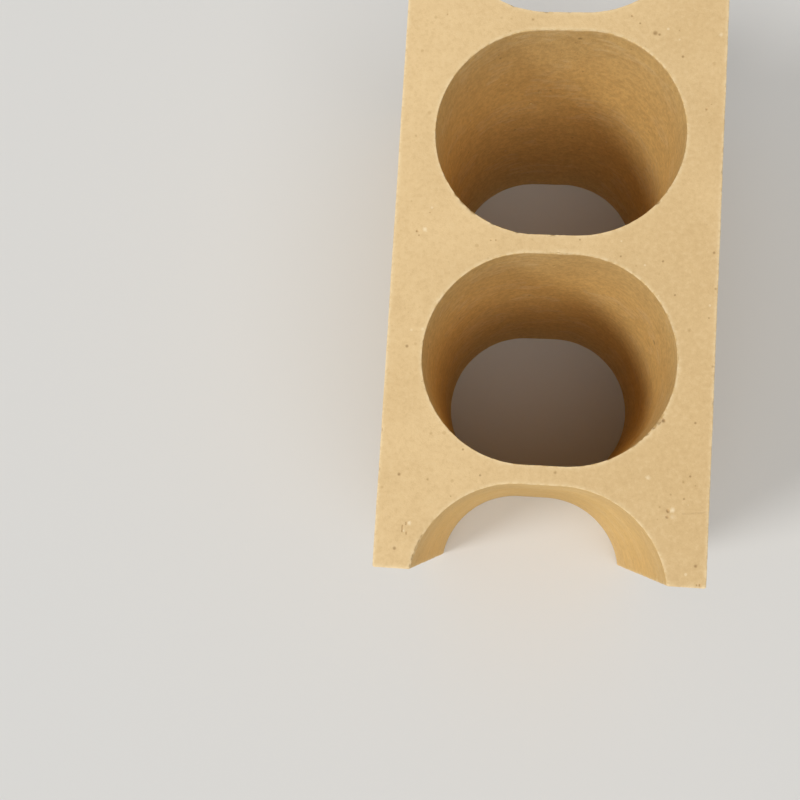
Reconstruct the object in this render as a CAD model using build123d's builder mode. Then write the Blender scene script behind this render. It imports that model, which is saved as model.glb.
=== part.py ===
"""A hollow fire brick for stacking into a flue wall, pressed and fired in one piece.

Two whole flues run up through it, and a part flue is open at each end, where the next brick
along completes it. The brick stands on its bed with the flues upright.

Frame: the origin is the middle of the bed it stands on, X goes across the brick, Y along the
row of flues and Z up. All sizes are in millimetres.
"""

from build123d import *
import os

os.makedirs("parts", exist_ok=True)

# The block
brick_width = 230.0
brick_length = 470.0
brick_height = 350.0

# The flues: each is a round-ended slot that lies across the brick
flue_width = 178.0
flue_breadth = 150.0
web_thickness = 14.0
whole_flues = 2

# The edges, as the mould leaves them
corner_radius = 3.0
lip_radius = 1.5
rim_radius = 1.0

# The flues keep one pitch along the brick. The row has one more place at each end, which the
# end of the block cuts open.
flue_pitch = flue_breadth + web_thickness
flue_places = whole_flues + 2

with BuildPart() as fire_brick:
    with BuildSketch() as section:
        RectangleRounded(brick_width, brick_length, corner_radius)
        with GridLocations(0, flue_pitch, 1, flue_places):
            SlotOverall(flue_width, flue_breadth, mode=Mode.SUBTRACT)

        # On each end the corner points lie outside and the lips of the open flue between them
        for end in (0, -1):
            end_points = section.vertices().group_by(Axis.Y)[end].sort_by(Axis.X)
            fillet(end_points[1:-1], radius=lip_radius)
    extrude(amount=brick_height)

    # Both beds, with every rim of the block and the flues eased
    beds = fire_brick.faces().filter_by(Axis.Z)
    fillet(beds.edges(), radius=rim_radius)

fire_brick.part.label = "fire_brick"
export_step(fire_brick.part, "parts/fire_brick.step")

print("pitch", flue_pitch, "volume litres", fire_brick.part.volume / 1e6)
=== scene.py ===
"""The looks of a hollow fire brick: pale sandy fireclay with iron specks, worn rims and wiped flues."""

import itertools
import math

import bpy
import numpy as np
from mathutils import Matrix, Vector
from mathutils.geometry import delaunay_2d_cdt


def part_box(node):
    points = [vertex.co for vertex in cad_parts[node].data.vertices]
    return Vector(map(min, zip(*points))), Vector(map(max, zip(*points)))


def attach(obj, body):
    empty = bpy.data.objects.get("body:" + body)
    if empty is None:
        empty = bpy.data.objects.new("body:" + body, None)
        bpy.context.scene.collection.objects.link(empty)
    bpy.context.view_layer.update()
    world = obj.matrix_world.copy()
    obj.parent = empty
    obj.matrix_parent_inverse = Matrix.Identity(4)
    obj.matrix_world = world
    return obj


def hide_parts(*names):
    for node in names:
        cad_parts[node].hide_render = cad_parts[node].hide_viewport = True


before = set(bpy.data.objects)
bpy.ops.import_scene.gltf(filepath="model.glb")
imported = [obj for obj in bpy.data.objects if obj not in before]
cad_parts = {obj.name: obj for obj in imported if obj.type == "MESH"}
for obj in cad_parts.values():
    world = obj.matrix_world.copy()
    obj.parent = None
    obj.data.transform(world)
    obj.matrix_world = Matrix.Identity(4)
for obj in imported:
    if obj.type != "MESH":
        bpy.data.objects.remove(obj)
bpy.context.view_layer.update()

# The mesh is worked out in millimetres and scaled to metres when it is made
MM = 0.001

# The block, from the frame
block_low, block_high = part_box("fire_brick")
WIDTH = (block_high[0] - block_low[0]) / MM
LENGTH = (block_high[1] - block_low[1]) / MM
HEIGHT = (block_high[2] - block_low[2]) / MM

# The flues, as in the part's source: the outer two of the row are cut open by the block's ends
FLUE_WIDTH = 178.0
FLUE_BREADTH = 150.0
FLUE_PITCH = 164.0
FLUE_RADIUS = FLUE_BREADTH / 2
FLUE_STRAIGHT = FLUE_WIDTH - FLUE_BREADTH
WHOLE_FLUES = (-0.5 * FLUE_PITCH, 0.5 * FLUE_PITCH)
END_FLUE = 1.5 * FLUE_PITCH
FLUE_CENTRES = (-END_FLUE, *WHOLE_FLUES, END_FLUE)

# How far an end flue's centre lies beyond the block's end, and the angle at which its wall meets that end
LIP_RISE = END_FLUE - LENGTH / 2
LIP_ANGLE = math.asin(LIP_RISE / FLUE_RADIUS)

# Mean edge radii, and how they vary along the edges, as sizes, shares and seeds of noise
CORNER_RADIUS = 1.2
LIP_RADIUS = 1.1
RIM_RADIUS = 0.8
EDGE_VARIATION = ((9.0, 0.45, 11), (2.3, 0.4, 12))

# The radius over which points turn round an edge as they move in, and how often their depth is corrected
TURN_RADIUS = 6.0
DEPTH_ROUNDS = 14

# Shallow swells, as sizes, heights and seeds of noise, and the inset that keeps them inside the solid
SWELLS = ((38.0, 0.14, 81), (11.0, 0.07, 82), (3.5, 0.035, 83))
SWELL_INSET = 0.2

# How far pale wear reaches from an edge, and its share beside the flues
WORN_REACH = 3.6
RIM_WEAR = 0.8

# How far the flues' skin fades out round a rim, and its share in the open end flues
SKIN_FADE = 0.8
OPEN_FLUE_SKIN = 0.68

# Mesh spacing: fine at the rims, coarser away from them
TOP_RIM_STEP = 0.95
FOOT_RIM_STEP = 1.5
RIM_ROWS = (0.5, 1.2, 2.1, 3.3)
ROW_GROWTH = 0.34
ROW_SHARE = 0.86
LAST_RING = 5.0
RING_CLEAR = 0.93
WALL_STEP = 6.6
TOP_STEP = 2.5
FOOT_STEP = 3.6
EDGE_COLUMNS = (-3.0, -1.7, -0.7, 0.0, 0.7, 1.7, 3.0)
EDGE_STEP = 2.4
SEAM_STEP = WALL_STEP * 0.8
EDGE_CLEAR = 4.2
SEAM_CLEAR = 0.45
NEAREST_STEP = 0.2

# Rings of points round a pit, as shares of its radius and numbers of points, and how far others keep off
PIT_RINGS = ((0.45, 6), (0.8, 9), (1.05, 11), (1.45, 12))
PIT_CLEAR = 1.75

# Marks at random, as numbers of pits and of iron spots on the upper bed, the lower bed and each wall
TOP_MARKS = (6, 0)
FOOT_MARKS = (40, 24)
WALL_MARKS = ((110, 60), (26, 12), (26, 12))

# Smallest and largest radii of those marks
BED_PIT_RADII = (0.5, 1.3)
BED_SPOT_RADII = (0.6, 1.2)
WALL_PIT_RADII = (0.7, 1.9)
WALL_SPOT_RADII = (0.6, 1.3)

# How far the ball that hollows a mark is lifted, as a share of its radius, and how rough pits and chips are
PIT_LIFT = 0.35
SPOT_LIFT = 0.8
PIT_ROUGHNESS = 0.35
CHIP_ROUGHNESS = 0.3

# Marks that the photograph shows on the upper bed, as places and radii
IRON_SPOTS = (
    (64, 156, 1.6),
    (67, 155, 0.9),
    (53, 163, 0.7),
    (84, 139, 0.9),
    (101, -159, 0.8),
    (103, -122, 0.8),
    (107, -220, 1.1),
    (81, -121, 1.1),
    (111.1, -2.1, 0.9),
    (109.3, -48.3, 0.6),
    (18, 3.9, 0.7),
    (47, -7, 0.7),
    (76.3, -9.5, 0.8),
    (85.5, -33.1, 0.7),
    (97.4, -174.7, 0.7),
    (-100.1, -77.6, 1.1),
    (-43, -166.5, 0.8),
    (-56, -149, 0.8),
    (-100, -169, 1.1),
    (-100, -221, 1.2),
)
PALE_GRAINS = (
    (89.7, -183.4, 1.3),
    (89.3, -187.6, 0.6),
    (-94.1, -208.4, 0.8),
    (-91.2, -202.8, 0.8),
    (-92.2, 7.2, 1.0),
    (-91.8, 10.6, 0.7),
    (72, -161, 1.0),
    (104, -113, 0.9),
    (109.7, 156.3, 1.0),
)
HOLES = (
    (86.9, -183.6, 1.2),
    (86.5, -187.7, 1.1),
    (81.2, -121.4, 1.4),
    (-98, 6, 0.9),
    (-96.4, 3.1, 0.6),
    (-41.2, 1.5, 0.6),
    (-44.7, 1.3, 0.5),
    (110.4, -232.9, 0.9),
    (108.3, -232.9, 0.6),
)

# Scratches along Y on the upper bed, as middles, radii and lengths, and a hairline from one place to another
SCRATCHES = ((-95.4, -206.8, 0.5, 4.5), (-92.9, -203.0, 0.5, 2.0), (-92.4, -209.9, 0.45, 1.6))
HAIRLINE = ((97.1, -185.0), (116.5, -182.8))

# Dark spots that the photograph shows on the flues' walls, as places and radii
WALL_SPOTS = (
    (11.6, 157.1, 336.5, 1.6),
    (82.9, -52.2, 265.0, 2.0),
    (-88.2, -71.0, 309.5, 1.6),
    (-35.7, 153.9, 161.5, 1.3),
)

# Where the upper rims are broken, as places, radii and bites, and where and how far they are crumbled
BROKEN_RIMS = (
    (80.5, -117.5, 1.4, 1.2),
    (78.5, -121, 2.9, 2.5),
    (75.5, -126, 2.2, 1.9),
    (71, -131, 1.4, 1.2),
    (67, -135, 1.0, 0.8),
    (-66, 22, 1.3, 1.1),
    (-85, -40, 1.5, 1.2),
    (-82, -212, 0.9, 0.6),
    (-85, -218, 1.2, 0.8),
    (-87, -225, 1.0, 0.7),
    (5, -7, 1.1, 0.9),
    (88, -64, 1.2, 0.9),
    (115, 55.3, 1.1, 0.8),
)
CRUMBLED_RIMS = ((79, -121), (72, -130), (5, -8), (-66, 22), (-79, -44), (-84, -220), (88, -82))
CRUMBLED_REACH = 6.0
CRUMBLED_DEPTH = 4.0

# How near an outline a place has to be for its mark to go there
WALL_SPOT_NEAR = 2.0
BROKEN_NEAR = 4.0
CRUMBLED_NEAR = 6.0

# Spacing of the small chips along the rims, their radii, and the number of chips down each upright edge
TOP_CHIP_SPACING = 4.8
FOOT_CHIP_SPACING = 9.0
CHIP_RADIUS = 0.6
CHIP_RANGE = 1.1
UPRIGHT_CHIPS = 12


# Smooth noise, distances and outlines

ARC_POINTS = 400
NOISE_TABLE = 4096
NOISE_PRIMES = np.array((73856093, 19349663, 83492791))


def noise(points, size, seed):
    """Smooth random values between -1 and 1 that change over the given size."""
    cell = points / size
    base = np.floor(cell).astype(np.int64)
    part = cell - base
    ease = part * part * (3 - 2 * part)
    table = np.random.default_rng(seed).uniform(-1, 1, NOISE_TABLE)
    total = np.zeros(len(points))
    for corner in itertools.product((0, 1), repeat=3):
        spot = (base + corner) @ NOISE_PRIMES % NOISE_TABLE
        total += table[spot] * np.prod(np.where(corner, ease, 1 - ease), axis=1)
    return total


def rounded_max(a, b, radius):
    """The larger of two distances, with the edge between them rounded."""
    over = np.hypot(np.maximum(a + radius, 0), np.maximum(b + radius, 0))
    return over + np.minimum(np.maximum(a, b) + radius, 0) - radius


def flue_distance(x, y, centre):
    """Distance outside a flue's outline, negative in its hollow."""
    beside = np.maximum(np.abs(x) - FLUE_STRAIGHT / 2, 0)
    return np.hypot(beside, y - centre) - FLUE_RADIUS


def section_distance(x, y, corner=0.0, lip=0.0):
    """Distance outside the brick's section, with its corners and lips rounded."""
    distance = rounded_max(np.abs(x) - WIDTH / 2, np.abs(y) - LENGTH / 2, corner)
    for centre in FLUE_CENTRES:
        distance = rounded_max(distance, -flue_distance(x, y, centre), lip)
    return distance


def brick_distance(points, corner, lip, rim):
    """Distance outside the brick, with its corners, lips and rims rounded."""
    x, y, z = points.T
    bed = np.abs(z - HEIGHT / 2) - HEIGHT / 2
    return rounded_max(section_distance(x, y, corner, lip), bed, rim)


def arc(x, y, start, end):
    """Points of a flue's arc round (x, y), between two angles in radians."""
    turn = np.linspace(start, end, ARC_POINTS)
    return np.stack((x + FLUE_RADIUS * np.cos(turn), y + FLUE_RADIUS * np.sin(turn)), axis=1)


class Outline:
    """A closed loop of the section, with the material on its left, read by length along it."""

    def __init__(self, runs):
        self.points = np.concatenate(runs + [runs[0][:1]])
        self.at = np.r_[0, np.cumsum(np.linalg.norm(np.diff(self.points, axis=0), axis=1))]
        self.length = self.at[-1]
        self.corners = [0.0]

    def place(self, s):
        return np.stack([np.interp(s, self.at, self.points[:, i]) for i in (0, 1)], axis=1)

    def outward(self, s):
        """Unit vectors out of the material, square to the outline."""
        ahead = self.place((s + 0.05) % self.length) - self.place((s - 0.05) % self.length)
        ahead /= np.linalg.norm(ahead, axis=1, keepdims=True)
        return np.stack((ahead[:, 1], -ahead[:, 0]), axis=1)

    def nearest(self, place):
        """How far the loop passes from a place, and the length along it there."""
        s = np.arange(0, self.length, NEAREST_STEP)
        away = np.linalg.norm(self.place(s) - place, axis=1)
        return away.min(), float(s[away.argmin()])

    def steps(self, spacing, shift=0.0):
        """Lengths along the loop at about the given spacing, with each corner among them."""
        stops = self.corners + [self.length]
        found = []
        for start, end in zip(stops, stops[1:]):
            count = max(1, round((end - start) / spacing))
            found.append(start + (np.arange(count) + shift) * (end - start) / count)
        return np.concatenate(found)


def flue_outline(centre):
    """A whole flue's loop, clockwise, so that the material is on its left."""
    half = FLUE_STRAIGHT / 2
    right = arc(half, centre, math.pi / 2, -math.pi / 2)
    left = arc(-half, centre, -math.pi / 2, -1.5 * math.pi)
    return Outline([right, left])


def block_outline():
    """The block's loop, anticlockwise from its near left corner, with the two end flues in it."""
    half = FLUE_STRAIGHT / 2
    corner = np.array([[-WIDTH / 2, -LENGTH / 2]])
    recess = np.concatenate([
        arc(-half, -END_FLUE, math.pi - LIP_ANGLE, math.pi / 2),
        arc(half, -END_FLUE, math.pi / 2, LIP_ANGLE),
    ])
    near = np.concatenate([corner, recess])
    loop = Outline([near, corner * (-1, 1), -near[:1], -near[1:], corner * (1, -1)])
    sharp = [corner[0], recess[0], recess[-1], corner[0] * (-1, 1)]
    sharp += [-point for point in sharp]
    nearest = [np.linalg.norm(loop.points[:-1] - point, axis=1).argmin() for point in sharp]
    loop.corners = [float(loop.at[index]) for index in nearest]
    return loop


# The mesh, patch by patch

MERGE_DISTANCE = 1e-5


def triangles(points, edges):
    """Delaunay triangles through the points that keep the given edges."""
    flat = [Vector(point) for point in points]
    made = delaunay_2d_cdt(flat, edges, [], 0, MERGE_DISTANCE)
    source = np.array([first[0] for first in made[3]])
    return source[np.array(made[2])]


def chain(first, count):
    """Edges that join a run of points in order."""
    return [(first + i, first + i + 1) for i in range(count - 1)]


def row_depths(rim_step, reach):
    """Depths of the wall's rows below a rim, with their spacing, out to the reach."""
    depths = [0.0, *RIM_ROWS]
    while depths[-1] < reach:
        depths.append(depths[-1] + ROW_SHARE * min(rim_step + ROW_GROWTH * depths[-1], WALL_STEP))
    return [depth for depth in depths if depth < reach]


def wall_patch(loop, pits):
    """A wall below one outline, as points and triangles, meshed by length along it and height."""
    chosen = []
    edges = []
    half = HEIGHT / 2
    corners = [c for c in loop.corners if c > 0]

    def add(s, z, join=False):
        if join:
            edges.extend(chain(sum(len(part) for part in chosen), len(s)))
        chosen.append(np.stack(np.broadcast_arrays(s, z), axis=1).astype(float))

    for rim_step, rim_height, down in ((TOP_RIM_STEP, HEIGHT, -1), (FOOT_RIM_STEP, 0.0, 1)):
        for row, depth in enumerate(row_depths(rim_step, half)):
            step = min(rim_step + ROW_GROWTH * max(depth - RIM_ROWS[1], 0), WALL_STEP)
            s = loop.steps(step, 0.5 * (row % 2)) if depth else np.r_[loop.steps(step), loop.length]
            if depth:
                below = depth > RIM_ROWS[-1]
                clear = EDGE_CLEAR if below and corners else SEAM_CLEAR * step
                stops = np.array(loop.corners + [loop.length] if below else [0, loop.length])
                s = s[np.abs(s[:, None] - stops).min(axis=1) > clear]
            add(s, rim_height + down * depth, join=not depth)

    # Columns of points down each vertical edge, or down the seam of a round loop
    offsets = EDGE_COLUMNS if corners else (0.0,)
    step = EDGE_STEP if corners else SEAM_STEP
    for corner in loop.corners + [loop.length]:
        for offset in offsets:
            s = corner + offset
            if not 0 <= s <= loop.length:
                continue
            start = 0.0 if offset == 0 and corner in (0.0, loop.length) else RIM_ROWS[-1]
            z = column_heights(start, step)
            add(np.full(len(z), s), z, join=offset == 0)

    points = np.concatenate(chosen)
    points, edges = with_pits(points, edges, pits)
    found = triangles(points, edges)
    flat = loop.place(points[:, 0])
    return np.column_stack((flat, points[:, 1])), found


def column_heights(start, step):
    """Heights of a column's points, close together by the rims."""
    rows = [depth for depth in RIM_ROWS if depth > start]
    first = rows[-1] if rows else start
    middle = np.linspace(first, HEIGHT - first, round((HEIGHT - 2 * first) / step))
    rows = np.array([depth for depth in rows if depth < first])
    return np.concatenate((rows, middle, HEIGHT - rows[::-1]))


def with_pits(points, edges, pits):
    """Clears the free points round each pit and puts rings of points there instead."""
    fixed = np.zeros(len(points), bool)
    fixed[np.array(edges).ravel()] = True
    keep = np.ones(len(points), bool)
    added = []
    for x, y, radius in pits:
        away = np.hypot(points[:, 0] - x, points[:, 1] - y)
        keep &= fixed | (away > PIT_CLEAR * radius)
        added.append([[x, y]])
        for share, count in PIT_RINGS:
            turn = np.arange(count) * math.tau / count + share
            added.append((x, y) + share * radius * np.stack((np.cos(turn), np.sin(turn)), axis=1))
    number = np.cumsum(keep) - 1
    edges = [(int(number[a]), int(number[b])) for a, b in edges]
    return np.concatenate([points[keep], *added]), edges


def bed_patch(loops, height, rim_step, step, pits, seed):
    """The upper or lower bed, as points and triangles, with its rims on the outlines."""
    chosen = []
    edges = []
    first = 0
    for loop in loops:
        s = loop.steps(rim_step)
        edges += chain(first, len(s)) + [(first + len(s) - 1, first)]
        first += len(s)
        chosen.append(loop.place(s))
    for row, depth in enumerate((*RIM_ROWS, LAST_RING)):
        for loop in loops:
            s = loop.steps(rim_step + ROW_GROWTH * max(depth - RIM_ROWS[1], 0), 0.5 * ((row + 1) % 2))
            ring = loop.place(s) - depth * loop.outward(s)
            chosen.append(ring[-section_distance(*ring.T) > RING_CLEAR * depth])
    chosen.append(bed_grid(step, seed))
    points, edges = with_pits(np.concatenate(chosen), edges, pits)
    found = triangles(points, edges)
    middle = points[found].mean(axis=1)
    found = found[section_distance(*middle.T) < 0]
    if not height:
        found = found[:, ::-1]
    return np.column_stack((points, np.full(len(points), height))), found


def bed_grid(step, seed):
    """A jittered triangular grid over the section, clear of its rims."""
    rise = step * math.sqrt(0.75)
    x, y = np.meshgrid(np.arange(-WIDTH / 2, WIDTH / 2, step), np.arange(-LENGTH / 2, LENGTH / 2, rise))
    x[1::2] += step / 2
    grid = np.stack((x.ravel(), y.ravel()), axis=1)
    grid += np.random.default_rng(seed).uniform(-0.18, 0.18, grid.shape) * step
    return grid[-section_distance(*grid.T) > LAST_RING + 0.6 * step]


def scattered(count, low, high, radii, clear, seed, others=()):
    """Places and radii of marks at random, clear of each other, of the others and of the edges."""
    random = np.random.default_rng(seed)
    found = list(others)
    while len(found) < count + len(others):
        x, y = random.uniform(low, high)
        radius = radii[0] + (radii[1] - radii[0]) * random.random() ** 3
        near = any(math.hypot(x - a, y - b) < 1.6 * (radius + r) for a, b, r in found)
        if not near and clear(x, y) > 3.5 + 2 * radius:
            found.append((x, y, radius))
    return found[len(others):]


def bed_marks(pits, spots, seed, others=()):
    """Pits and iron spots on a bed."""
    high = np.array((WIDTH / 2, LENGTH / 2))

    def clear(x, y):
        return -section_distance(np.array(x), np.array(y))

    iron = scattered(spots, -high, high, BED_SPOT_RADII, clear, seed, others)
    return scattered(pits, -high, high, BED_PIT_RADII, clear, seed + 1, (*others, *iron)), iron


def scratch_pits():
    """Rows of small pits that make up the scratches."""
    return [
        (x, y + step, radius)
        for x, y, radius, length in SCRATCHES
        for step in np.arange(-length / 2, length / 2, 0.8 * radius)
    ]


def wall_marks(loop, pits, spots, seed):
    """Pits and iron spots on a wall, by length along its outline and height, with the known ones first."""
    high = np.array((loop.length, HEIGHT))
    stops = np.array(loop.corners + [loop.length])

    def clear(s, z):
        return min(z, HEIGHT - z, np.abs(s - stops).min()) - 4.0

    known = []
    for x, y, z, radius in WALL_SPOTS:
        away, s = loop.nearest((x, y))
        if away < WALL_SPOT_NEAR:
            known.append((s, z, radius))
    iron = known + scattered(spots, 0 * high, high, WALL_SPOT_RADII, clear, seed, known)
    return scattered(pits, 0 * high, high, WALL_PIT_RADII, clear, seed + 1, iron), iron


def placed_marks(loops, beds, walls):
    """Each pit and iron spot, as its place, the way out of the surface, its radius and whether it is iron."""
    placed = []
    for (height, out_z), marks in zip(((HEIGHT, 1), (0.0, -1)), beds):
        for found, is_iron in zip(marks, (False, True)):
            placed += [((x, y, height), (0, 0, out_z), radius, is_iron) for x, y, radius in found]
    for loop, marks in zip(loops, walls):
        for found, is_iron in zip(marks, (False, True)):
            for s, z, radius in found:
                at = np.array([s])
                placed.append(((*loop.place(at)[0], z), (*loop.outward(at)[0], 0), radius, is_iron))
    return placed


# Wear: every point moves into the brick, to where the worn surface starts

def directions(points):
    """Unit vectors into the brick that turn smoothly round its edges."""
    step = 0.01
    slope = np.stack([
        brick_distance(points + step * axis, TURN_RADIUS, TURN_RADIUS, TURN_RADIUS)
        - brick_distance(points - step * axis, TURN_RADIUS, TURN_RADIUS, TURN_RADIUS)
        for axis in np.eye(3)
    ], axis=1)
    return -slope / np.linalg.norm(slope, axis=1, keepdims=True)


def edge_depth(points, inward):
    """How far each point moves in to lie on the unevenly rounded edges."""
    uneven = sum((share * noise(points, size, seed) for size, share, seed in EDGE_VARIATION), 1)
    depth = np.zeros(len(points))
    for _ in range(DEPTH_ROUNDS):
        moved = points + depth[:, None] * inward
        over = brick_distance(moved, CORNER_RADIUS * uneven, LIP_RADIUS * uneven, RIM_RADIUS * uneven)
        depth += np.maximum(over, 0)
    return depth


def scoop(points, inward, depth, centre, radius, along=None, stretch=1.0, rough=0.0, seed=0):
    """Deepens the surface to the far side of a ball, or of an egg that is long along an edge."""
    reach = radius * stretch * 1.5
    near = np.flatnonzero((np.abs(points - centre) < reach).all(axis=1))
    if not len(near):
        return
    offset = points[near] - centre
    way = inward[near]
    if along is not None:
        offset = offset - np.outer(offset @ along, along) * (1 - 1 / stretch)
        way = way - np.outer(way @ along, along) * (1 - 1 / stretch)
    lump = 0.45 * radius + 0.6
    size = radius * (1 + rough * noise(points[near], lump, seed)) if rough else radius
    a = (way * way).sum(axis=1)
    b = (offset * way).sum(axis=1)
    c = (offset * offset).sum(axis=1) - size ** 2
    inside = b * b - a * c
    far = (-b + np.sqrt(np.maximum(inside, 0))) / a
    depth[near] = np.where(inside > 0, np.maximum(depth[near], far), depth[near])


def rim_chip(loop, s, height, radius, bite, rise, stretch):
    """A chip on a rim, as centre, radius, direction of the edge and stretch."""
    outward = loop.outward(np.array([s]))[0]
    out = np.append(outward, rise if height else -rise)
    out /= np.linalg.norm(out)
    place = np.append(loop.place(np.array([s]))[0], height)
    return place + out * (radius - bite), radius, np.append(outward[::-1] * (-1, 1), 0.0), stretch


def rim_chips(loop, height, count, crumbled, seed):
    """Small chips along one rim, half of them close to where it is crumbled, given by length along it."""
    random = np.random.default_rng(seed)
    found = []
    for i in range(count):
        if i % 2 and len(crumbled):
            s = random.normal(random.choice(crumbled), CRUMBLED_REACH)
            radius = CHIP_RADIUS + CHIP_RANGE * random.random() ** 1.6
        else:
            s = random.uniform(0, loop.length)
            radius = CHIP_RADIUS + CHIP_RANGE * random.random() ** 4
        bite = radius * random.uniform(0.3, 0.8)
        rise = random.uniform(0.3, 1.6)
        found.append(rim_chip(loop, s % loop.length, height, radius, bite, rise, random.uniform(1.1, 2.4)))
    return found


def broken_chips(loop):
    """The larger chips where the photograph shows the upper rims broken."""
    found = []
    for x, y, radius, bite in BROKEN_RIMS:
        away, s = loop.nearest((x, y))
        if away < BROKEN_NEAR:
            found.append(rim_chip(loop, s, HEIGHT, radius, bite, 1.0, 1.2))
    return found


def upright_chips(loop, count, seed):
    """Chips down the vertical edges of the block."""
    random = np.random.default_rng(seed)
    upright = np.array((0.0, 0.0, 1.0))
    found = []
    for corner in loop.corners:
        place = loop.place(np.array([corner]))[0]
        out = -directions(np.array([[*place, HEIGHT / 2]]))[0]
        for _ in range(count):
            radius = 1.0 + 2.6 * random.random() ** 4
            bite = radius * random.uniform(0.5, 0.9)
            centre = np.array([*place, random.uniform(0, HEIGHT)]) + out * (radius - bite)
            found.append((centre, radius, upright, random.uniform(1.2, 3.0)))
    return found


def crumbled_lengths(loop, height, seed):
    """Lengths along a rim where it is crumbled: on the upper bed, where the photograph shows it."""
    if not height:
        return np.random.default_rng(seed).uniform(0, loop.length, 3)
    return np.array([s for away, s in map(loop.nearest, CRUMBLED_RIMS) if away < CRUMBLED_NEAR])


def all_chips(loops):
    """The chips down the block's upright edges and along every rim."""
    chips = upright_chips(loops[0], UPRIGHT_CHIPS, 51)
    for i, loop in enumerate(loops):
        for height, spacing, seed in ((HEIGHT, TOP_CHIP_SPACING, 61 + i), (0.0, FOOT_CHIP_SPACING, 71 + i)):
            crumbled = crumbled_lengths(loop, height, seed)
            chips += rim_chips(loop, height, round(loop.length / spacing), crumbled, seed)
        chips += broken_chips(loop)
    return chips


def build_brick():
    """The brick's mesh, with the shares of each point that its material reads."""
    loops = [block_outline()] + [flue_outline(centre) for centre in WHOLE_FLUES]
    holes = [*HOLES, *scratch_pits()]
    top_pits, top_iron = bed_marks(*TOP_MARKS, 21, [*IRON_SPOTS, *holes, *PALE_GRAINS])
    top_pits += holes
    top_iron += IRON_SPOTS
    foot_pits, foot_iron = bed_marks(*FOOT_MARKS, 23)
    walls = [wall_marks(loop, *WALL_MARKS[i], 41 + 2 * i) for i, loop in enumerate(loops)]
    patches = [
        bed_patch(loops, HEIGHT, TOP_RIM_STEP, TOP_STEP, top_pits + top_iron, 31),
        bed_patch(loops, 0.0, FOOT_RIM_STEP, FOOT_STEP, foot_pits + foot_iron, 32),
    ]
    patches += [wall_patch(loop, pits + iron) for loop, (pits, iron) in zip(loops, walls)]
    points, faces = joined(patches)

    inward = directions(points)
    depth = edge_depth(points, inward)
    rounded = depth.copy()
    for i, (centre, radius, along, stretch) in enumerate(all_chips(loops)):
        scoop(points, inward, depth, centre, radius, along, stretch, CHIP_ROUGHNESS, 100 + i % 7)
    chipped = np.clip(depth - rounded, 0, 1)

    # Pits are deep and uneven, iron spots are shallow dimples, and pale grains are only a colour
    pit, iron, pale = np.zeros((3, len(points)))
    for x, y, radius in PALE_GRAINS:
        pale = np.maximum(pale, spot_share(points, (x, y, HEIGHT), radius))
    beds = ((top_pits, top_iron), (foot_pits, foot_iron))
    for i, (place, out, radius, is_iron) in enumerate(placed_marks(loops, beds, walls)):
        out = np.array(out)
        if is_iron:
            scoop(points, inward, depth, place + SPOT_LIFT * radius * out, radius)
            iron = np.maximum(iron, spot_share(points, place, radius))
        else:
            centre = place + PIT_LIFT * radius * out
            scoop(points, inward, depth, centre, radius, rough=PIT_ROUGHNESS, seed=90 + i % 9)
            pit = np.maximum(pit, spot_share(points, place, radius))

    swell = sum(height * noise(points, size, seed) for size, height, seed in SWELLS)
    moved = points + (depth + SWELL_INSET - swell)[:, None] * inward
    x, y, _ = points.T
    to_flues = np.array([np.abs(flue_distance(x, y, centre)) for centre in FLUE_CENTRES])
    to_flue = to_flues.min(axis=0)
    in_open = to_flues[[0, -1]].min(axis=0) == to_flue
    flue = np.clip(1 - to_flue / SKIN_FADE, 0, 1) * np.where(in_open, OPEN_FLUE_SKIN, 1.0)
    worn = edge_share(points, WORN_REACH) * np.where(to_flue < WORN_REACH, RIM_WEAR, 1.0)
    # The pit and chipped shares also carry the painted shade in pits and chips
    shares = {"flue": flue, "chipped": chipped, "pit": pit, "iron": iron, "pale": pale, "worn": worn}
    shares["crumbled"] = crumbled_share(points)
    return moved, faces, shares


def spot_share(points, place, radius):
    """From 1 in the middle of a spot to 0 a little outside it."""
    return np.clip(1.9 - 1.5 * np.linalg.norm(points - np.array(place), axis=1) / radius, 0, 1)


def edge_share(points, reach):
    """From 0 on the open faces to 1 on the edges."""
    return np.clip(brick_distance(points, reach, reach, reach) / ((math.sqrt(2) - 1) * reach), 0, 1)


def crumbled_share(points):
    """How crumbly the surface is along the crumbled rims."""
    by_rim = np.zeros(len(points))
    for x, y in CRUMBLED_RIMS:
        away = np.linalg.norm(points - (x, y, HEIGHT), axis=1)
        by_rim = np.maximum(by_rim, np.exp(-(away / (1.4 * CRUMBLED_REACH)) ** 2))
    return by_rim * np.sqrt(edge_share(points, CRUMBLED_DEPTH))


def joined(patches):
    """One mesh of all the patches, with the points of their shared rims and seams merged."""
    starts = np.cumsum([0] + [len(points) for points, _ in patches])
    points = np.concatenate([points for points, _ in patches])
    faces = np.concatenate([found + start for (_, found), start in zip(patches, starts)])
    _, keep, same = np.unique(points.round(4), axis=0, return_index=True, return_inverse=True)
    points = points[keep]
    faces = same.reshape(-1)[faces]
    used = np.unique(faces)
    number = np.zeros(len(points), int)
    number[used] = np.arange(len(used))
    faces = number[faces]
    thin = (faces == np.roll(faces, 1, axis=1)).any(axis=1)
    return points[used], faces[~thin]


def make_brick(material):
    points, faces, shares = build_brick()
    mesh = bpy.data.meshes.new("fire_brick_body")
    mesh.from_pydata((points * MM).tolist(), [], faces.tolist())
    mesh.polygons.foreach_set("use_smooth", [True] * len(faces))
    for name, values in shares.items():
        layer = mesh.attributes.new(name, "FLOAT", "POINT")
        layer.data.foreach_set("value", values.astype(np.float32))
    mesh.materials.append(material)
    mesh.update()
    brick = bpy.data.objects.new("fire_brick_body", mesh)
    bpy.context.scene.collection.objects.link(brick)
    print("triangles", len(faces), "points", len(points))
    return brick


# Materials

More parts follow.
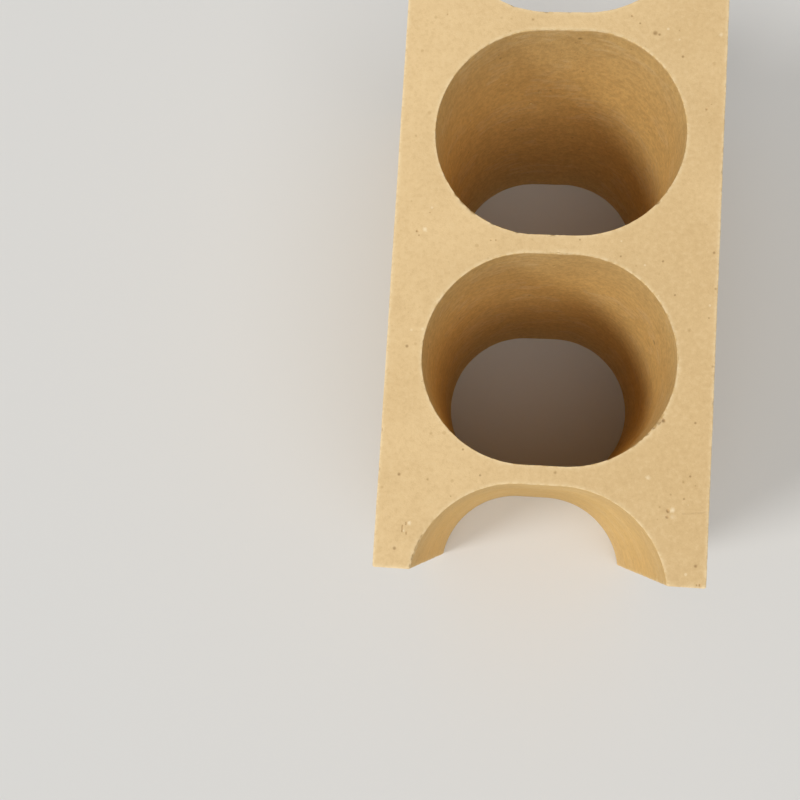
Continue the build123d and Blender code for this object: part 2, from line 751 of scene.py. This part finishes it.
def paint(red, green, blue):
    """A screen colour, 0 to 255, as the linear colour that the shaders take."""
    linear = [
        c / 12.92 if c <= 0.04045 else ((c + 0.055) / 1.055) ** 2.4
        for c in (red / 255, green / 255, blue / 255)
    ]
    return (*linear, 1.0)


class Shader:
    """Adds nodes to a material, each linked to what feeds it, by its socket's name or as i0, i1 and so on."""

    def __init__(self, name):
        self.material = bpy.data.materials.new(name)
        self.material.use_nodes = True
        self.tree = self.material.node_tree
        self.surface = self.tree.nodes["Principled BSDF"]

    def add(self, kind, settings=None, **feeds):
        node = self.tree.nodes.new(kind)
        for key, value in (settings or {}).items():
            setattr(node, key, value)
        for key, value in feeds.items():
            socket = node.inputs[int(key[1:])] if key[0] == "i" and key[1:].isdigit() else node.inputs[key]
            self.feed(socket, value)
        return node

    def feed(self, socket, value):
        if isinstance(value, bpy.types.NodeSocket):
            self.tree.links.new(value, socket)
        else:
            socket.default_value = value

    def math(self, operation, a, b=0.0):
        return self.add("ShaderNodeMath", {"operation": operation}, i0=a, i1=b).outputs[0]

    def span(self, value, low, high, to_low=0.0, to_high=1.0):
        """A value taken from one range to another, and held at its ends."""
        return self.add(
            "ShaderNodeMapRange", {"interpolation_type": "SMOOTHSTEP"},
            i0=value, i1=low, i2=high, i3=to_low, i4=to_high,
        ).outputs[0]

    def blend(self, share, a, b):
        """The first colour, taken to the second by the share."""
        node = self.add("ShaderNodeMix", {"data_type": "RGBA"})
        self.feed(node.inputs["Factor"], share)
        self.feed(node.inputs[6], a)
        self.feed(node.inputs[7], b)
        return node.outputs[2]

    def grain(self, place, size, detail=2.0, roughness=0.5):
        """Noise from 0 to 1 that changes over the given size, in millimetres."""
        return self.add(
            "ShaderNodeTexNoise", Vector=place, Scale=1 / size, Detail=detail, Roughness=roughness,
        ).outputs[0]

    def wiped(self, place, warp, size, tilt):
        """Noise stretched to the given sizes along X, Y and Z, and tilted along Z by the warp."""
        scale = tuple(1 / length for length in size)
        scaled = self.vector("MULTIPLY", i0=place, i1=scale)
        shift = self.add("ShaderNodeCombineXYZ", i2=self.math("MULTIPLY", warp, tilt)).outputs[0]
        return self.grain(self.vector("ADD", i0=scaled, i1=shift), 1.0, 3.0, 0.62)

    def vector(self, operation, output=0, **feeds):
        return self.add("ShaderNodeVectorMath", {"operation": operation}, **feeds).outputs[output]

    def from_line(self, place, start, end, height):
        """Distance from a line between two places at one height, in millimetres."""
        start = Vector((*start, height))
        end = Vector((*end, height))
        offset = self.vector("SUBTRACT", i0=place, i1=start)
        along = (end - start) / (end - start).length_squared
        share = self.vector("DOT_PRODUCT", "Value", i0=offset, i1=along)
        share = self.math("MAXIMUM", self.math("MINIMUM", share, 1.0), 0.0)
        foot = self.vector("SCALE", i0=end - start, Scale=share)
        return self.vector("DISTANCE", "Value", i0=offset, i1=foot)

    def bump(self, height, depth, below=None):
        """A bump of the given depth, in millimetres, on top of another."""
        node = self.add("ShaderNodeBump", Strength=1.0, Distance=depth * MM, Height=height)
        if below is not None:
            self.feed(node.inputs["Normal"], below)
        return node.outputs[0]

    def specks(self, place, size, share, radius):
        """Round specks, one to a cell of the given size, in the given share of the cells."""
        cells = self.add("ShaderNodeTexVoronoi", Vector=place, Scale=1 / size, Randomness=0.9)
        split = self.add("ShaderNodeSeparateColor", i0=cells.outputs["Color"])
        chosen = self.math("LESS_THAN", split.outputs[0], share)
        reach = self.span(split.outputs[1], 0.0, 1.0, 0.35 * radius / size, radius / size)
        edge = self.math("DIVIDE", cells.outputs["Distance"], reach)
        return self.math("MULTIPLY", chosen, self.span(edge, 0.55, 1.15, 1.0, 0.0))


# The body drifts at random between two tones over the brick, and a slope paints it a little darker to the
# right and the near end as painted light falloff
BODY = paint(234, 203, 152)
BODY_DEEP = paint(220, 188, 137)
DRIFT_SIZE = 60.0
PAINTED_FALLOFF_SLOPE = (0.0022, -0.0005, 0.0)

# It is mottled over a few millimetres, and down to its sand
CLOUD = paint(196, 162, 112)
CLOUD_SIZE = 7.0
MOTTLE_DARK = paint(190, 156, 106)
MOTTLE_PALE = paint(240, 212, 164)
MOTTLE_SIZE = 2.7
SAND = paint(178, 142, 94)
SAND_SIZE = 0.9

# The flues' skin turns a richer orange between these heights from a bed: painted warm bounce light of the
# flues' shaded depths
FLUE_SKIN = paint(236, 199, 129)
FLUE_SKIN_PAINTED_BOUNCE = paint(246, 206, 127)
PAINTED_BOUNCE_FROM = 10.0
PAINTED_BOUNCE_TO = 120.0

# It has faint smears, a speckle drawn out up the wall, and patches of fine hairs round it
SMEAR = paint(180, 142, 84)
SMEAR_SIZE = (18.0, 18.0, 11.0)
SMEAR_DEPTH = 0.25
SPECKLE = paint(172, 134, 76)
SPECKLE_SIZE = (3.8, 3.8, 5.0)
SPECKLE_DEPTH = 0.25
FINE = paint(168, 130, 72)
FINE_SIZE = (1.8, 1.8, 3.2)
HAIR = paint(246, 220, 168)
HAIR_SIZE = (15.0, 15.0, 3.4)
HAIR_TILT = 3.0
HAIR_DEPTH = 0.3
HAIR_PATCH_SIZE = 42.0
WARP_SIZE = 60.0

# Marks on the body
GROG = paint(250, 230, 192)
FLECK = paint(180, 144, 92)
WORN_EDGE = paint(244, 219, 174)
WORN_SIZE = 4.0
# Painted shade of the chips' broken faces
PAINTED_CHIP_SHADE = paint(190, 152, 98)
PALE_GRAIN = paint(255, 236, 198)
# Painted shade in the pits and along the hairline
PAINTED_HOLLOW_SHADE = paint(140, 102, 56)
RUST = paint(134, 98, 54)

# The bumps of the sand, of the surface's small waves and of broken clay, as depths and sizes
SAND_DEPTH = 0.07
WAVE_SIZE = 3.4
WAVE_DEPTH = 0.14
BROKEN_SIZE = 1.3
BROKEN_DEPTH = 0.35


def body_colour(shader, place, mottle, sand):
    """The open faces' colour."""
    # The slope is painted light falloff: a little darker to the right and the near end
    slope = shader.vector("DOT_PRODUCT", "Value", i0=place, i1=PAINTED_FALLOFF_SLOPE)
    drift_and_painted_falloff = shader.math("ADD", shader.grain(place, DRIFT_SIZE), slope)
    clouds = shader.grain(place, CLOUD_SIZE)
    colour = shader.blend(shader.span(drift_and_painted_falloff, 0.1, 0.9), BODY, BODY_DEEP)
    colour = shader.blend(shader.span(clouds, 0.3, 0.7, 0.11, 0.0), colour, CLOUD)
    colour = shader.blend(shader.span(mottle, 0.3, 0.5, 0.16, 0.0), colour, MOTTLE_DARK)
    colour = shader.blend(shader.span(mottle, 0.5, 0.7, 0.0, 0.22), colour, MOTTLE_PALE)
    return shader.blend(shader.span(sand, 0, 1, 0.07, 0.0), colour, SAND)


def skin_colour(shader, place, smears, speckle, hairs, warp):
    """The colour of the flues' walls."""
    height = shader.add("ShaderNodeSeparateXYZ", i0=place).outputs["Z"]
    from_bed = shader.math("MINIMUM", height, shader.math("SUBTRACT", HEIGHT, height))
    fine = shader.wiped(place, warp, FINE_SIZE, 0.0)
    # The richer orange towards the middle of the walls' height is painted warm bounce light
    skin = shader.blend(shader.span(from_bed, PAINTED_BOUNCE_FROM, PAINTED_BOUNCE_TO), FLUE_SKIN, FLUE_SKIN_PAINTED_BOUNCE)
    skin = shader.blend(shader.span(smears, 0.35, 0.65, 0.16, 0.0), skin, SMEAR)
    skin = shader.blend(shader.span(speckle, 0.35, 0.65, 0.28, 0.0), skin, SPECKLE)
    skin = shader.blend(shader.span(fine, 0.35, 0.65, 0.08, 0.0), skin, FINE)
    return shader.blend(shader.span(hairs, 0.4, 0.7, 0.0, 0.36), skin, HAIR)


def fireclay():
    """Fired clay: sandy and pale, with iron specks, and deeper in colour and wiped in its flues, with painted
    warm bounce light towards the middle of their walls.
    """
    shader = Shader("fireclay")
    place = shader.add("ShaderNodeTexCoord").outputs["Object"]
    place = shader.vector("SCALE", i0=place, Scale=1 / MM)
    flue, chipped, pit, iron, pale, worn, crumbled = [
        shader.add("ShaderNodeAttribute", {"attribute_name": name}).outputs["Fac"]
        for name in ("flue", "chipped", "pit", "iron", "pale", "worn", "crumbled")
    ]

    mottle = shader.grain(place, MOTTLE_SIZE, 2.0, 0.55)
    sand = shader.span(shader.grain(place, SAND_SIZE, 3.0, 0.7), 0.25, 0.75)
    warp = shader.grain(place, WARP_SIZE, 1.0)
    smears = shader.wiped(place, warp, SMEAR_SIZE, 0.0)
    speckle = shader.wiped(place, warp, SPECKLE_SIZE, 0.0)
    patch = shader.span(shader.grain(place, HAIR_PATCH_SIZE, 1.0), 0.47, 0.58)
    hairs = shader.math("MULTIPLY", shader.wiped(place, warp, HAIR_SIZE, HAIR_TILT), patch)
    skin = skin_colour(shader, place, smears, speckle, hairs, warp)
    body = body_colour(shader, place, mottle, sand)
    colour = shader.blend(shader.math("MULTIPLY", flue, 0.9), body, skin)

    # Pale grog and dull flecks, paler clay on worn edges, painted shade in chips, in pits and along the
    # hairline, and iron specks
    grog = shader.specks(place, 9.0, 0.3, 1.2)
    fleck = shader.specks(place, 8.0, 0.3, 1.7)
    speck = shader.specks(place, 8.0, 0.2, 0.9)
    colour = shader.blend(shader.math("MULTIPLY", grog, 0.4), colour, GROG)
    colour = shader.blend(shader.math("MULTIPLY", fleck, 0.3), colour, FLECK)
    uneven = shader.span(shader.grain(place, WORN_SIZE, 3.0, 0.6), 0.38, 0.6, 0.25, 1.0)
    pale_edge = shader.math("MULTIPLY", shader.math("MAXIMUM", worn, crumbled), uneven)
    colour = shader.blend(pale_edge, colour, WORN_EDGE)
    # Chips are darkened with painted shade
    colour = shader.blend(shader.span(chipped, 0.25, 0.9, 0.0, 0.5), colour, PAINTED_CHIP_SHADE)
    colour = shader.blend(shader.math("MULTIPLY", pale, 0.75), colour, PALE_GRAIN)
    # Painted shade: darker along the hairline and in the pits
    hairline = shader.span(shader.from_line(place, *HAIRLINE, HEIGHT), 0.2, 1.1, 0.2, 0.0)
    hairline = shader.math("MULTIPLY", hairline, shader.span(mottle, 0.35, 0.6))
    hollow = shader.math("MAXIMUM", shader.math("MULTIPLY", pit, 0.38), hairline)
    colour = shader.blend(hollow, colour, PAINTED_HOLLOW_SHADE)
    rust = shader.math("MAXIMUM", shader.math("MULTIPLY", iron, 0.55), shader.math("MULTIPLY", speck, 0.35))
    colour = shader.blend(rust, colour, RUST)

    rough = shader.math("SUBTRACT", sand, shader.math("MULTIPLY", speck, 0.6))
    broken = shader.math("MULTIPLY", shader.grain(place, BROKEN_SIZE, 2.0, 0.6), chipped)
    normal = shader.bump(rough, SAND_DEPTH)
    normal = shader.bump(shader.grain(place, WAVE_SIZE, 3.0, 0.6), WAVE_DEPTH, normal)
    normal = shader.bump(shader.math("MULTIPLY", smears, flue), SMEAR_DEPTH, normal)
    normal = shader.bump(shader.math("MULTIPLY", speckle, flue), SPECKLE_DEPTH, normal)
    normal = shader.bump(shader.math("MULTIPLY", hairs, flue), HAIR_DEPTH, normal)
    normal = shader.bump(broken, BROKEN_DEPTH, normal)

    shader.feed(shader.surface.inputs["Base Color"], colour)
    shader.feed(shader.surface.inputs["Normal"], normal)
    shader.surface.inputs["Roughness"].default_value = 0.92
    shader.surface.inputs["Specular IOR Level"].default_value = 0.12
    return shader.material


def plain(name, colour):
    shader = Shader(name)
    shader.surface.inputs["Base Color"].default_value = colour
    shader.surface.inputs["Roughness"].default_value = 0.8
    return shader.material


# The stage: a pale floor, even light from the sky, a high lamp on the near side and a lower one on the left

FLOOR_COLOUR = paint(214, 213, 210)
FLOOR_REACH = 12.0
SKY_LEVEL = 0.37

# Each lamp's share of the light on a flat bed, then its height, its bearing and how wide it looks, in degrees
LAMPS = {
    "key": (0.34, 65.0, 285.0, 50.0),
    "low": (0.29, 45.0, 205.0, 17.0),
}


def make_lamp(name, level, height, bearing, softness):
    lamp = bpy.data.lights.new(name, "SUN")
    height = math.radians(height)
    bearing = math.radians(bearing)
    lamp.energy = level * math.pi / math.sin(height)
    lamp.angle = math.radians(softness)
    sun = bpy.data.objects.new(name, lamp)
    toward = Vector((
        math.cos(bearing) * math.cos(height),
        math.sin(bearing) * math.cos(height),
        math.sin(height),
    ))
    sun.rotation_euler = toward.to_track_quat("Z", "Y").to_euler()
    bpy.context.scene.collection.objects.link(sun)


def make_stage():
    bpy.ops.mesh.primitive_plane_add(size=2 * FLOOR_REACH)
    floor = bpy.context.object
    floor.name = "floor"
    floor.data.materials.append(plain("floor", FLOOR_COLOUR))

    for name, settings in LAMPS.items():
        make_lamp(name, *settings)

    world = bpy.data.worlds.new("studio")
    world.use_nodes = True
    nodes = world.node_tree.nodes
    links = world.node_tree.links
    light = nodes["Background"]
    light.inputs["Strength"].default_value = SKY_LEVEL
    light.inputs["Color"].default_value = (1, 1, 1, 1)
    seen = nodes.new("ShaderNodeBackground")
    seen.inputs["Color"].default_value = FLOOR_COLOUR
    ray = nodes.new("ShaderNodeLightPath")
    shown = ray.outputs["Is Camera Ray"]
    for kind in ("Is Glossy Ray", "Is Transmission Ray"):
        either = nodes.new("ShaderNodeMath")
        either.operation = "MAXIMUM"
        links.new(shown, either.inputs[0])
        links.new(ray.outputs[kind], either.inputs[1])
        shown = either.outputs[0]
    mix = nodes.new("ShaderNodeMixShader")
    links.new(shown, mix.inputs[0])
    links.new(light.outputs[0], mix.inputs[1])
    links.new(seen.outputs[0], mix.inputs[2])
    links.new(mix.outputs[0], nodes["World Output"].inputs["Surface"])
    bpy.context.scene.world = world


# The camera stands where the photograph was taken from, looking down into the flues

SENSOR_WIDTH = 36.0
PHOTO_SIZE = 800
FOCAL_PIXELS = 1050.2
OPTICAL_CENTRE = (416.0, 433.5)
CAMERA_PLACE = (-0.0174, -0.1975, 1.0857)
CAMERA_TILT = (4.813, 5.334, 3.525)


def make_camera():
    lens = bpy.data.cameras.new("camera")
    lens.sensor_width = SENSOR_WIDTH
    lens.lens = lens.sensor_width * FOCAL_PIXELS / PHOTO_SIZE
    lens.shift_x = 0.5 - OPTICAL_CENTRE[0] / PHOTO_SIZE
    lens.shift_y = OPTICAL_CENTRE[1] / PHOTO_SIZE - 0.5
    camera = bpy.data.objects.new("camera", lens)
    camera.location = CAMERA_PLACE
    camera.rotation_euler = [math.radians(angle) for angle in CAMERA_TILT]
    bpy.context.scene.collection.objects.link(camera)
    bpy.context.scene.camera = camera


brick = make_brick(fireclay())
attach(brick, "root")
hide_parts("fire_brick")
make_stage()
make_camera()
bpy.context.scene.view_settings.view_transform = "Standard"

bpy.context.view_layer.update()
